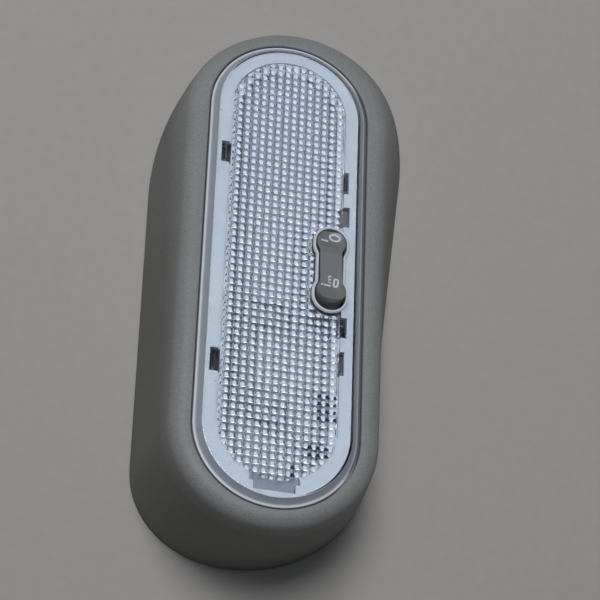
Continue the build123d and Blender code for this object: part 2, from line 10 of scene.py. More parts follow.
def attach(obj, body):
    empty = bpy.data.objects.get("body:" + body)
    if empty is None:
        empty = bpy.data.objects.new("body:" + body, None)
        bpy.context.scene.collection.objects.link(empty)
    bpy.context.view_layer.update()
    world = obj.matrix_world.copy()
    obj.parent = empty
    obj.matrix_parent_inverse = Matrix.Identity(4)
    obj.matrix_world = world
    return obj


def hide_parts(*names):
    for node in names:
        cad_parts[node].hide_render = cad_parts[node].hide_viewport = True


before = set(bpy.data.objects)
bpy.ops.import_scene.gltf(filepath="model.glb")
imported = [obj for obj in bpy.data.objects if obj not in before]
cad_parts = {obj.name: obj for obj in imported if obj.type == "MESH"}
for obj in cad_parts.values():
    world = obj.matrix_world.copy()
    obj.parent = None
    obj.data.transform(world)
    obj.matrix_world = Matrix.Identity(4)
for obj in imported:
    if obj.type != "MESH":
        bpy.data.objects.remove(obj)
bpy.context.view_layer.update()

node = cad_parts


# Housing. One injection moulding in grey ABS, a wedge-shaped shell with a fine spark-eroded grain outside. It
# stands on the roof lining, two webs across its back take the screws, and the rebated slot in its sloping top
# takes the lamp insert.
MM = 0.001
TILT = math.radians(12.0)
OPENING_STRAIGHT = 49.7
OPENING_R = 23.0
EDGE_ROUND = 0.5
RIM_R = 28.2
RIM_ROUND = 4.3
BASE_FAR_X, BASE_NEAR_X, BASE_END_Y = 36.2, 33.1, 78.7
FOOT_RISE, FOOT_SHARE = 0.5, 0.12
WALL, WALL_SWELL = 2.4, 0.25
LEDGE_R = 21.2
LEDGE_W = -4.6
REBATE_W = -3.0
BACK_R = 26.2
RIM_MIDDLE_Y, RIM_MIDDLE_Z = 2.5, 20.75
SCREWS_Y, SCREW_R = (48.0, -62.0), 2.25
WEB_HALF_Y, WEB_BOTTOM, WEB_TOP = 6.0, 0.05, 2.2
RIBS_Y, RIB_HALF_Y, RIB_BOTTOM, RIB_UNDER_RIM = (-40.0, -8.0, 24.0), 0.8, 0.3, 5.2
RIB_INNER_X, RIB_TOP_X, RIB_FOOT_X, RIB_FOOT_TAPER = 22.6, 27.0, 32.2, 0.037


def lens_to_lamp(u, v, w):
    """Points of the tilted lens frame in the lamp's frame: u across, v along and w square to the lens,
    turned by the tilt about X and moved to the middle of the rim. Millimetres in, metres out."""
    y = RIM_MIDDLE_Y + v * math.cos(TILT) + w * math.sin(TILT)
    z = RIM_MIDDLE_Z - v * math.sin(TILT) + w * math.cos(TILT)
    return np.stack(np.broadcast_arrays(u, y, z), axis=-1) * MM


def slot_walk(steps_side, steps_end):
    """Walk once round a slot with round ends: the spine point (0, v) and the outward unit normal at each
    step. Two straight sides, OPENING_STRAIGHT either way from the middle, and four quarter turns, each open
    at its last step."""
    run = np.linspace(1, -1, steps_side, endpoint=False)
    turn = np.linspace(0, 0.5, steps_end, endpoint=False) * math.pi
    one = np.ones_like
    spine = np.concatenate([run, -one(turn), -one(turn), -run, one(turn), one(turn)]) * OPENING_STRAIGHT
    angle = np.concatenate([
        one(run) * math.pi, math.pi + turn, 1.5 * math.pi + turn, one(run) * 0, turn, 0.5 * math.pi + turn,
    ])
    return spine, np.cos(angle), np.sin(angle)


def roof_outline(inset, steps_side, steps_end):
    """Outline on the roof face in the same steps: straight tapering sides, and cubic Bezier quarters that
    leave and arrive along the sides of their corner, by a fullness of 0.55 to 0.66."""
    far_y, far_x, near_x = BASE_END_Y - inset, BASE_FAR_X - inset, BASE_NEAR_X - inset
    far_left, far_right, far_tip = (-far_x, 25.0), (far_x, 40.0), (2.0, far_y)
    near_left, near_right, near_tip = (-near_x, -54.5), (near_x, -46.0), (-4.0, -far_y)
    quarters = [
        (far_left, None, near_left, 0), (near_left, (1 - near_x, -far_y), near_tip, 0.57),
        (near_tip, (near_x - 1, -far_y), near_right, 0.58), (near_right, None, far_right, 0),
        (far_right, (far_x, far_y), far_tip, 0.66), (far_tip, (-far_x, far_y), far_left, 0.55),
    ]
    walked = []
    for start, corner, end, full in quarters:
        start, end = np.array(start), np.array(end)
        if corner is None:
            t = np.linspace(0, 1, steps_side, endpoint=False)[:, None]
            walked.append(start + (end - start) * t)
            continue
        t = np.linspace(0, 1, steps_end, endpoint=False)[:, None]
        leave, arrive = start + (corner - start) * full, end + (corner - end) * full
        near_start = (1 - t) ** 3 * start + 3 * (1 - t) ** 2 * t * leave
        walked.append(near_start + 3 * (1 - t) * t ** 2 * arrive + t ** 3 * end)
    flat = np.concatenate(walked)
    return np.column_stack([flat, np.zeros(len(flat))]) * MM


def grid_faces(rows, columns, row_loop, column_loop):
    """Quads between neighbouring rows and columns of a grid, joined round where a loop is asked for."""
    r = np.arange(rows if row_loop else rows - 1)[:, None]
    c = np.arange(columns if column_loop else columns - 1)[None, :]
    this_row, next_row, next_c = r * columns, (r + 1) % rows * columns, (c + 1) % columns
    quads = np.broadcast_arrays(this_row + c, this_row + next_c, next_row + next_c, next_row + c)
    return np.stack(quads, -1).reshape(-1, 4)


def new_piece(name, grids, sharp_degrees=35):
    """One mesh object from grids of points, given as (points, row_loop, column_loop). Each grid whose
    signed volume is negative has its faces turned, so that a closed shape points outwards."""
    corners, faces, count = [], [], 0
    for points, row_loop, column_loop in grids:
        quads = grid_faces(points.shape[0], points.shape[1], row_loop, column_loop)
        flat = points.reshape(-1, 3)
        a, b, c, d = (flat[quads[:, k]] - flat.mean(axis=0) for k in range(4))
        volume = np.einsum("ij,ij->", a, np.cross(b, c)) + np.einsum("ij,ij->", a, np.cross(c, d))
        faces.append((quads if volume >= 0 else quads[:, ::-1]) + count)
        corners.append(flat)
        count += len(flat)
    mesh = bpy.data.meshes.new(name)
    mesh.from_pydata(np.concatenate(corners).tolist(), [], np.concatenate(faces).tolist())
    mesh.shade_smooth()
    mesh.set_sharp_from_angle(angle=math.radians(sharp_degrees))
    piece = bpy.data.objects.new(name, mesh)
    bpy.context.scene.collection.objects.link(piece)
    return piece


def shell_points(steps_side=30, steps_end=44):
    """The housing's closed section carried round the slot. From the ledge up through the rebate, over the
    flat rim, round an exact arc (a rational quadratic with the corner weighted by the sine of half its
    angle), down the wall as a straight line with a slight swell, under the lip and back up inside."""
    spine, nu, nv = slot_walk(steps_side, steps_end)
    outside, inside = roof_outline(0, steps_side, steps_end), roof_outline(WALL, steps_side, steps_end)

    def at(radius, w):
        return lens_to_lamp(radius * nu, spine + radius * nv, w)

    corner = at(RIM_R, 0.0)
    inward = (at(RIM_R - 1, 0.0) - corner) / MM
    fall = outside - corner
    drop = np.linalg.norm(fall, axis=1, keepdims=True)
    fall = fall / drop
    half_angle = np.arccos(np.clip((inward * fall).sum(axis=1), -1, 1))[:, None] / 2
    setback = np.minimum(RIM_ROUND / np.tan(half_angle) * MM, drop * 0.8)
    top, low = corner + inward * setback, corner + fall * setback
    rows = [at(LEDGE_R, LEDGE_W), at(LEDGE_R, REBATE_W), at(OPENING_R, REBATE_W)]
    rows.append(at(OPENING_R, -EDGE_ROUND))
    for turn in np.linspace(0, 0.5, 5)[1:] * math.pi:
        radius = OPENING_R + EDGE_ROUND - EDGE_ROUND * math.cos(turn)
        rows.append(at(radius, -EDGE_ROUND + EDGE_ROUND * math.sin(turn)))
    rows.append((rows[-1] + top) / 2)
    weight = np.sin(half_angle)
    for t in np.linspace(0, 1, 15):
        share = (1 - t) ** 2 + 2 * weight * t * (1 - t) + t ** 2
        rows.append(((1 - t) ** 2 * top + 2 * weight * t * (1 - t) * corner + t ** 2 * low) / share)
    swell = np.cross(np.roll(corner, -1, axis=0) - np.roll(corner, 1, axis=0), fall)
    swell = swell / np.linalg.norm(swell, axis=1, keepdims=True)
    swell *= np.sign((swell * inward).sum(axis=1, keepdims=True)) * -WALL_SWELL * MM
    foot = outside - fall * FOOT_RISE * MM
    for t in np.linspace(0, 1, 13)[1:]:
        rows.append(low + (foot - low) * t + swell * math.sin(math.pi * t))
    rows += [outside * [1, 1, 0] + (inside - outside) * FOOT_SHARE, inside, at(BACK_R, LEDGE_W)]
    return np.stack(rows)


def web_points(screw_y, steps=96):
    """Plate with a round hole, let into the wall at both ends: a ring whose inner edge is a circle and whose
    outer edge is the same angle's point on a strip across the shell, held back to the wall's inside on both
    sides. It is carried through the section bottom, hole wall, top and outer edge."""
    angle = np.linspace(0, 2 * math.pi, steps, endpoint=False)
    across, along = np.maximum(np.abs([np.cos(angle), np.sin(angle)]), 1e-9)
    past_wall = 40.0
    reach = np.minimum(past_wall / across, WEB_HALF_Y / along)
    edge_x, edge_y = reach * np.cos(angle), screw_y + reach * np.sin(angle)
    wall = roof_outline(WALL + 0.1, 30, 44)[:, :2] / MM
    for side in (-1, 1):
        half = wall[wall[:, 0] * side > 5]
        half = half[np.argsort(half[:, 1])]
        limit = np.interp(edge_y, half[:, 1], half[:, 0] * side)
        edge_x = np.where(edge_x * side > limit, limit * side, edge_x)
    edge = np.column_stack([edge_x, edge_y])
    hole = np.column_stack([SCREW_R * np.cos(angle), screw_y + SCREW_R * np.sin(angle)])
    rows = ((edge, WEB_BOTTOM), (hole, WEB_BOTTOM), (hole, WEB_TOP), (edge, WEB_TOP))
    return np.stack([np.column_stack([flat, np.full(steps, z)]) for flat, z in rows]) * MM


def rib_points(rib_y, side):
    """Thin upright plate between the ledge and the wall: four corners in section, carried through its
    thickness and closed by a row at its middle on each face."""
    top = RIM_MIDDLE_Z - (rib_y - RIM_MIDDLE_Y) * math.tan(TILT) - RIB_UNDER_RIM
    foot_x = RIB_FOOT_X + RIB_FOOT_TAPER * rib_y
    bottom_corners = [(RIB_INNER_X, RIB_BOTTOM), (foot_x, RIB_BOTTOM)]
    section = np.array(bottom_corners + [(RIB_TOP_X, top), (RIB_INNER_X, top)])
    middle = section.mean(axis=0)
    rows = []
    for run, size in ((-RIB_HALF_Y, 0.0), (-RIB_HALF_Y, 1.0), (RIB_HALF_Y, 1.0), (RIB_HALF_Y, 0.0)):
        shape = middle + (section - middle) * size
        rows.append(np.column_stack([side * shape[:, 0], np.full(4, rib_y + run), shape[:, 1]]))
    return np.stack(rows) * MM


shell_grids = [(shell_points(), True, True)]
for screw_y in SCREWS_Y:
    shell_grids.append((web_points(screw_y), True, True))
for rib_y in RIBS_Y:
    for side in (-1, 1):
        shell_grids.append((rib_points(rib_y, side), False, True))
housing = new_piece("housing_moulding", shell_grids)
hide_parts("housing")
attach(housing, "lamp")


def linear(code):
    """sRGB hex colour as linear red, green, blue and alpha: the power 2.4 curve with its straight foot."""
    part = np.array([int(code[k:k + 2], 16) for k in (1, 3, 5)]) / 255
    part = np.where(part <= 0.04045, part / 12.92, ((part + 0.055) / 1.055) ** 2.4)
    return (*part.tolist(), 1.0)


def add_node(tree, kind, inputs=(), **settings):
    """Adds a node, applies its settings, then sets or links its inputs, given as (socket, value) pairs."""
    made = tree.nodes.new(kind)
    for key, value in settings.items():
        setattr(made, key, value)
    for socket, value in inputs:
        if isinstance(value, bpy.types.NodeSocket):
            tree.links.new(value, made.inputs[socket])
        else:
            made.inputs[socket].default_value = value
    return made


def dress(piece, material):
    """Gives every slot of a piece one material."""
    piece.data.materials.clear()
    piece.data.materials.append(material)


def new_material(name):
    """Empty material with its tree, its Object coordinates and its output."""
    material = bpy.data.materials.new(name)
    material.use_nodes = True
    tree = material.node_tree
    tree.nodes.clear()
    place = add_node(tree, "ShaderNodeTexCoord").outputs["Object"]
    return material, tree, place, add_node(tree, "ShaderNodeOutputMaterial")


# Grey ABS from a spark-eroded tool: a satin skin whose grain breaks up its shine, drawn 0.45 mm wide because
# a finer one would not show. The walls are toned darker than the rim, a painted shade, to come near the
# photograph's tones.
LENS_TURN = (TILT, 0.0, 0.0)
LENS_SHIFT = (
    0.0,
    RIM_MIDDLE_Z * math.sin(TILT) - RIM_MIDDLE_Y * math.cos(TILT),
    -RIM_MIDDLE_Z * math.cos(TILT) - RIM_MIDDLE_Y * math.sin(TILT),
)
IN_MM = (1000.0, 1000.0, 1000.0)
abs_grey, tree, place, out = new_material("grey_ABS_spark_grain")
grain = add_node(tree, "ShaderNodeTexNoise", [
    ("Vector", place), ("Scale", 1 / (0.45 * MM)), ("Detail", 2.0), ("Roughness", 0.6),
])
cloud = add_node(tree, "ShaderNodeTexNoise", [("Vector", place), ("Scale", 1 / (22.0 * MM)), ("Detail", 3.0)])
level = add_node(tree, "ShaderNodeMapping", [
    ("Vector", place), ("Location", LENS_SHIFT), ("Rotation", LENS_TURN), ("Scale", IN_MM),
])
height = add_node(tree, "ShaderNodeSeparateXYZ", [("Vector", level.outputs[0])])
up_to_rim = add_node(tree, "ShaderNodeMapRange", [
    ("Value", height.outputs["Z"]), ("From Min", -9.0), ("From Max", -1.5),
])
rim_tone = add_node(tree, "ShaderNodeMix", [
    ("Factor", cloud.outputs[0]), ("A", linear("#9b9a94")), ("B", linear("#a7a6a1")),
], data_type="RGBA")
# Below the rim the walls take a darker tone: painted shade.
wall_painted_shade_tone = add_node(tree, "ShaderNodeMix", [
    ("Factor", cloud.outputs[0]), ("A", linear("#7c7a74")), ("B", linear("#86847e")),
], data_type="RGBA")
tone = add_node(tree, "ShaderNodeMix", [
    ("Factor", up_to_rim.outputs["Result"]), ("A", wall_painted_shade_tone.outputs["Result"]),
    ("B", rim_tone.outputs["Result"]),
], data_type="RGBA")
speck = add_node(tree, "ShaderNodeMapRange", [
    ("Value", grain.outputs[0]), ("From Min", 0.3), ("From Max", 0.7), ("To Min", 0.8), ("To Max", 1.12),
])
paint = add_node(tree, "ShaderNodeMix", [
    ("Factor", 1.0), ("A", tone.outputs["Result"]), ("B", speck.outputs["Result"]),
], data_type="RGBA", blend_type="MULTIPLY")
gloss = add_node(tree, "ShaderNodeMapRange", [
    ("Value", grain.outputs[0]), ("To Min", 0.42), ("To Max", 0.66),
])
bump = add_node(tree, "ShaderNodeBump", [
    ("Height", grain.outputs[0]), ("Strength", 0.35), ("Distance", 0.00012),
])
shader = add_node(tree, "ShaderNodeBsdfPrincipled", [
    ("Base Color", paint.outputs["Result"]), ("Roughness", gloss.outputs["Result"]),
    ("Normal", bump.outputs["Normal"]), ("IOR", 1.54),
])
tree.links.new(shader.outputs[0], out.inputs["Surface"])
dress(housing, abs_grey)


# Reflector tray. One injection moulding in white ABS, hung under the lens by the lens's hooked legs. Its
# flange is the pale ring round the prisms, and its trough holds the bulb.
ROCKER_U = 12.9
WELL_HALF_U, WELL_HALF_V, WELL_TOP = 4.9, 13.3, -1.06

# White ABS from a smooth tool: an even pale skin with some dark specks of dust. The trough is toned down, a
# painted shade, because the lens throws no shadow on it here, and the well round the switch is painted near
# black, a painted shade for the gap there.
abs_white, tree, place, out = new_material("white_ABS_smooth")
cloud = add_node(tree, "ShaderNodeTexNoise", [("Vector", place), ("Scale", 1 / (9.0 * MM)), ("Detail", 4.0)])
tone = add_node(tree, "ShaderNodeMix", [
    ("Factor", cloud.outputs[0]), ("A", linear("#a6acb0")), ("B", linear("#b5b9bd")),
], data_type="RGBA")
# The trough takes a darker tone than the flange: painted shade.
trough_painted_shade = add_node(tree, "ShaderNodeMix", [
    ("Factor", cloud.outputs[0]), ("A", linear("#7e8894")), ("B", linear("#89939f")),
], data_type="RGBA")
level = add_node(tree, "ShaderNodeMapping", [
    ("Vector", place), ("Location", LENS_SHIFT), ("Rotation", LENS_TURN), ("Scale", IN_MM),
])
split = add_node(tree, "ShaderNodeSeparateXYZ", [("Vector", level.outputs[0])])
shelf = add_node(tree, "ShaderNodeMapRange", [
    ("Value", split.outputs["Z"]), ("From Min", -2.6), ("From Max", -2.05),
])
flange_and_trough_shade = add_node(tree, "ShaderNodeMix", [
    ("Factor", shelf.outputs["Result"]), ("A", trough_painted_shade.outputs["Result"]), ("B", tone.outputs["Result"]),
], data_type="RGBA")
# The well round the switch is painted near black: painted shade in the gap round the rocker.
across = add_node(tree, "ShaderNodeMath", [
    (0, split.outputs["X"]), (1, ROCKER_U), (2, WELL_HALF_U),
], operation="COMPARE")
along = add_node(tree, "ShaderNodeMath", [
    (0, split.outputs["Y"]), (1, 0.0), (2, WELL_HALF_V),
], operation="COMPARE")
below = add_node(tree, "ShaderNodeMath", [(0, split.outputs["Z"]), (1, WELL_TOP)], operation="LESS_THAN")
well = add_node(tree, "ShaderNodeMath", [(0, across.outputs[0]), (1, along.outputs[0])], operation="MULTIPLY")
well = add_node(tree, "ShaderNodeMath", [(0, well.outputs[0]), (1, below.outputs[0])], operation="MULTIPLY")
dots = add_node(tree, "ShaderNodeTexVoronoi", [("Vector", place), ("Scale", 1 / (4.0 * MM))])
speck = add_node(tree, "ShaderNodeMapRange", [
    ("Value", dots.outputs["Distance"]), ("From Min", 0.05), ("From Max", 0.08), ("To Min", 0.55),
    ("To Max", 0.0),
])
dusty = add_node(tree, "ShaderNodeMix", [
    ("Factor", speck.outputs["Result"]), ("A", flange_and_trough_shade.outputs["Result"]), ("B", linear("#4c525a")),
], data_type="RGBA")
paint = add_node(tree, "ShaderNodeMix", [
    ("Factor", well.outputs[0]), ("A", dusty.outputs["Result"]), ("B", linear("#141619")),
], data_type="RGBA")
shader = add_node(tree, "ShaderNodeBsdfPrincipled", [
    ("Base Color", paint.outputs["Result"]), ("Roughness", 0.42), ("IOR", 1.54),
])
tree.links.new(shader.outputs[0], out.inputs["Surface"])
dress(node["reflector_tray"], abs_white)


# Conductors. Four brass strips, stamped, tin plated and fixed along the tray's back, with the bulb clips and
# the switch contacts folded up from them, the blade that joins the contacts and the plunger that presses on
# it. Tin plate that has gone dull gives them a soft grey shine.
tinned, tree, place, out = new_material("tinned_brass_strip")
cloud = add_node(tree, "ShaderNodeTexNoise", [("Vector", place), ("Scale", 1 / (4.0 * MM)), ("Detail", 4.0)])
tone = add_node(tree, "ShaderNodeMix", [
    ("Factor", cloud.outputs[0]), ("A", linear("#8d9194")), ("B", linear("#a5a9ac")),
], data_type="RGBA")
gloss = add_node(tree, "ShaderNodeMapRange", [("Value", cloud.outputs[0]), ("To Min", 0.6), ("To Max", 0.75)])
shader = add_node(tree, "ShaderNodeBsdfPrincipled", [
    ("Base Color", tone.outputs["Result"]), ("Metallic", 1.0), ("Roughness", gloss.outputs["Result"]),
])
tree.links.new(shader.outputs[0], out.inputs["Surface"])
for name in ("feed_strip", "switched_strip", "earth_strip", "door_strip", "contact_blade", "switch_plunger"):
    dress(node[name], tinned)


# Plug socket. One small injection moulding in black nylon that stands on four feet against the tray's back.
# The strips' three pins pass through its floor, and its open mouth takes the plug of the roof wiring. Moulded
# nylon gives it a black, half-matt skin.
nylon, tree, place, out = new_material("black_nylon")
grain = add_node(tree, "ShaderNodeTexNoise", [("Vector", place), ("Scale", 1 / (0.8 * MM)), ("Detail", 2.0)])
tone = add_node(tree, "ShaderNodeMix", [
    ("Factor", grain.outputs[0]), ("A", linear("#1b1b1c")), ("B", linear("#262627")),
], data_type="RGBA")
shader = add_node(tree, "ShaderNodeBsdfPrincipled", [
    ("Base Color", tone.outputs["Result"]), ("Roughness", 0.5), ("IOR", 1.53),
])
tree.links.new(shader.outputs[0], out.inputs["Surface"])
dress(node["connector_shroud"], nylon)


# Heat shield and bulb caps. The shield is one folded aluminium sheet on the trough floor, under the bulb. The
# caps are drawn metal cups with pointed ends, crimped on the glass and held in the holes of the clips. All of
# them are dulled by heat to a soft grey, with faint streaks along them.
bright, tree, place, out = new_material("heat_dulled_aluminium")
streak = add_node(tree, "ShaderNodeMapping", [
    ("Vector", place), ("Scale", (1 / (0.6 * MM), 1 / (30.0 * MM), 1 / (0.6 * MM))),
])
lines = add_node(tree, "ShaderNodeTexNoise", [("Vector", streak.outputs[0]), ("Scale", 1.0), ("Detail", 2.0)])
gloss = add_node(tree, "ShaderNodeMapRange", [("Value", lines.outputs[0]), ("To Min", 0.7), ("To Max", 0.85)])
shader = add_node(tree, "ShaderNodeBsdfPrincipled", [
    ("Base Color", linear("#868f9a")), ("Metallic", 0.3), ("Roughness", gloss.outputs["Result"]),
])
tree.links.new(shader.outputs[0], out.inputs["Surface"])
for name in ("heat_shield", "bulb_cap_far", "bulb_cap_near"):
    dress(node[name], bright)


# Bulb glass and filament. The glass is one drawn soda-glass tube, frosted and necked in at both caps, and
# what shows through it is blurred. The filament is a dark grey coil of drawn tungsten on two leads that run
# to the caps.
tube, tree, place, out = new_material("frosted_soda_glass")
haze = add_node(tree, "ShaderNodeTexNoise", [("Vector", place), ("Scale", 1 / (6.0 * MM)), ("Detail", 2.0)])
gloss = add_node(tree, "ShaderNodeMapRange", [("Value", haze.outputs[0]), ("To Min", 0.4), ("To Max", 0.55)])
shader = add_node(tree, "ShaderNodeBsdfPrincipled", [
    ("Base Color", linear("#f6f9fa")), ("Transmission Weight", 1.0), ("Roughness", gloss.outputs["Result"]),
    ("IOR", 1.52),
])
tree.links.new(shader.outputs[0], out.inputs["Surface"])
dress(node["bulb_glass"], tube)
node["bulb_glass"].visible_shadow = False
tungsten, tree, place, out = new_material("drawn_tungsten")
wire = add_node(tree, "ShaderNodeTexNoise", [("Vector", place), ("Scale", 1 / (0.4 * MM)), ("Detail", 2.0)])
tone = add_node(tree, "ShaderNodeMix", [
    ("Factor", wire.outputs[0]), ("A", linear("#4a4a4c")), ("B", linear("#77777a")),
], data_type="RGBA")
shader = add_node(tree, "ShaderNodeBsdfPrincipled", [
    ("Base Color", tone.outputs["Result"]), ("Metallic", 1.0), ("Roughness", 0.4),
])
tree.links.new(shader.outputs[0], out.inputs["Surface"])
dress(node["bulb_filament"], tungsten)


# Steel springs. One folded strip of spring steel on the tray's near end hooks under the housing's ledge and
# shows grey through the lens. One small wire coil in the rocker's stem presses on the switch's plunger.
steel, tree, place, out = new_material("spring_steel_strip")
cloud = add_node(tree, "ShaderNodeTexNoise", [("Vector", place), ("Scale", 1 / (2.0 * MM)), ("Detail", 3.0)])
tone = add_node(tree, "ShaderNodeMix", [
    ("Factor", cloud.outputs[0]), ("A", linear("#666b72")), ("B", linear("#82878e")),
], data_type="RGBA")
shader = add_node(tree, "ShaderNodeBsdfPrincipled", [
    ("Base Color", tone.outputs["Result"]), ("Metallic", 0.7), ("Roughness", 0.5),
])
tree.links.new(shader.outputs[0], out.inputs["Surface"])
for name in ("retaining_spring", "switch_spring"):
    dress(node[name], steel)


# Lens. One clear acrylic moulding, polished outside, with rows of rounded prisms inside that break up the
# view. A bevel, a lip and a skirt run round it, a collar rings the rocker's opening, and four hooked legs
# carry the tray. It lets light through, and here it throws no shadow on the tray below it.
LENS_R = OPENING_R - 0.4
SKIRT_R = LENS_R - 1.6
LENS_TOP, LENS_UNDER = 1.5, -0.9
LIP_ROUND, LIP_W, LIP_TOP = 0.35, -0.55, -0.2
FIELD_R, FIELD_STRAIGHT, FIELD_SHIFT = LENS_R - 6.4, OPENING_STRAIGHT - 0.4, 0.95
PITCH_U, PITCH_V = 2.22, 2.193
PRISM_U, PRISM_V = -0.87, -0.52
PRISM_DEPTH, PRISM_SLOPE, PRISM_TIP = 0.9, 0.95, 0.3
TIP_R, TIP_RING_R = 0.56, 0.82
COLLAR, COLLAR_TOP, COLLAR_ROUND = 0.7, 2.0, 0.25
LAND = 0.95
SHADED_PLACES = [(13.2, -41.4, 2.9, 4.1), (12.2, -54.7, 3.7, 2.1), (5.0, -61.2, 1.0, 2.1)]
LEG_PLACES = [(-17.9, 33.7), (-17.9, -31.8), (16.9, 29.6), (16.9, -27.7)]
LEG_HALF_U, LEG_HALF_V, LEG_TOP, LEG_FOOT = 0.45, 2.5, -0.6, -4.2
HOOK_OUT, HOOK_TOP, HOOK_MIDDLE = 1.5, -3.0, -3.6


def opening_walk(grow, steps=12):
    """Walk round the rocker's opening: a half circle at each end, a short straight, a turn in by a second arc
    and a hollow corner of 2 mm to the waist. One quarter is worked out, then mirrored."""
    r, waist, hollow = 4.35 + grow, 3.45 + grow, 2.0
    far_v, near_v = 8.4, 7.35
    drop = math.sqrt((r + hollow) ** 2 - (waist + hollow) ** 2)
    lean = math.atan2(drop, waist + hollow)
    end = np.linspace(0.5 * math.pi, 0, steps)
    side = np.linspace(0, -lean, steps // 2)
    neck = np.linspace(math.pi - lean, math.pi, steps // 2)[1:]
    u = np.concatenate([r * np.cos(end), r * np.cos(side), waist + hollow + hollow * np.cos(neck)])
    waist_v = near_v - drop
    v = np.concatenate([far_v + r * np.sin(end), near_v + r * np.sin(side), waist_v + hollow * np.sin(neck)])
    u[0] = 0.0
    quarter = np.column_stack([u, v])
    back = quarter[::-1][:-1]
    loop = np.concatenate([quarter, back * [1, -1], -quarter, back * [-1, 1]])
    return loop + [ROCKER_U, 0.0]


def lens_walk(radius, straight=OPENING_STRAIGHT, shift=0.0):
    """Walk round a slot of a given radius, as flat points."""
    spine, nu, nv = slot_walk(40, 40)
    return np.column_stack([radius * nu, spine * straight / OPENING_STRAIGHT + shift + radius * nv])


def beyond_loop(points, loop):
    """Distance of flat points from a closed loop, negative inside: the nearest of all its segments, signed by
    whether a line to the right crosses the loop an odd number of times."""
    a, b = loop[None, :, :], np.roll(loop, -1, axis=0)[None, :, :]
    p = points[:, None, :]
    along = np.clip(((p - a) * (b - a)).sum(-1) / ((b - a) ** 2).sum(-1), 0, 1)
    near = np.sqrt((((a + (b - a) * along[..., None]) - p) ** 2).sum(-1)).min(axis=1)
    rise = (a[..., 1] > p[..., 1]) != (b[..., 1] > p[..., 1])
    span = np.where(rise, b[..., 1] - a[..., 1], 1)
    cross = a[..., 0] + (p[..., 1] - a[..., 1]) / span * (b[..., 0] - a[..., 0])
    inside = (rise & (p[..., 0] < cross)).sum(axis=1) % 2 == 1
    return np.where(inside, -near, near)


def beyond_field(points):
    """Distance of flat points from the prism field's slot, negative inside."""
    v = points[:, 1] - FIELD_SHIFT
    return np.hypot(points[:, 0], v - np.clip(v, -FIELD_STRAIGHT, FIELD_STRAIGHT)) - FIELD_R


def from_tip(points):
    """Offset of flat points across and along from the tip of the prism whose cell they are in: the remainder
    by the pitch, taken about the tip."""
    x = (points[:, 0] - PRISM_U + PITCH_U / 2) % PITCH_U - PITCH_U / 2
    y = (points[:, 1] - PRISM_V + PITCH_V / 2) % PITCH_V - PITCH_V / 2
    return x, y


def prism_drop(points):
    """Depth of the round-tipped prisms: a hyperbola of the distance from the cell's tip, down from the full
    depth at a slope that nears PRISM_SLOPE, and never above the flat."""
    away = np.hypot(*from_tip(points))
    return np.maximum(PRISM_DEPTH - PRISM_SLOPE * (np.hypot(away, PRISM_TIP) - PRISM_TIP), 0.0)


def prism_points():
    """Points of every prism's cell: its tip, a ring at the edge of the tip, a wider ring, and points along
    two of its sides, which are its neighbours' other sides."""
    tip_turn = np.linspace(0, 2 * math.pi, 12, endpoint=False)
    ring_turn = np.linspace(0, 2 * math.pi, 10, endpoint=False)
    quarter = np.arange(4) / 4 - 0.5
    cell = np.concatenate([
        [(0.0, 0.0)], TIP_R * np.column_stack([np.cos(tip_turn), np.sin(tip_turn)]),
        TIP_RING_R * np.column_stack([np.cos(ring_turn), np.sin(ring_turn)]),
        np.column_stack([quarter * PITCH_U, np.full(4, -PITCH_V / 2)]),
        np.column_stack([np.full(3, -PITCH_U / 2), quarter[1:] * PITCH_V]),
    ])
    tips_u, tips_v = PRISM_U + PITCH_U * np.arange(-9, 10), PRISM_V + PITCH_V * np.arange(-32, 33)
    tips = np.stack(np.meshgrid(tips_u, tips_v, indexing="ij"), -1).reshape(-1, 1, 2)
    every = (tips + cell[None]).reshape(-1, 2)
    every = every[beyond_field(every) < -0.2]
    return every[beyond_loop(every, opening_walk(LAND)) > 0.2]


def flat_triangles(loops, points, hole):
    """Triangles over the first loop's area, through all the loops and points, leaving out the hole. The given
    points come back first and keep their own exact places, and points where loops cross follow them."""
    corners, edges = [], []
    for loop in loops:
        step = np.arange(len(loop)) + sum(map(len, corners))
        edges += np.column_stack([step, np.roll(step, -1)]).tolist()
        corners.append(loop)
    every = np.concatenate(corners + [points])
    spots, _, faces, _, _, _ = delaunay_2d_cdt(every.tolist(), edges, [], 0, 1e-6)
    flat, faces = np.array(spots), np.array(faces)
    flat[:len(every)] = every
    middle = flat[faces].mean(axis=1)
    return flat, faces[beyond_loop(middle, hole) > 0]


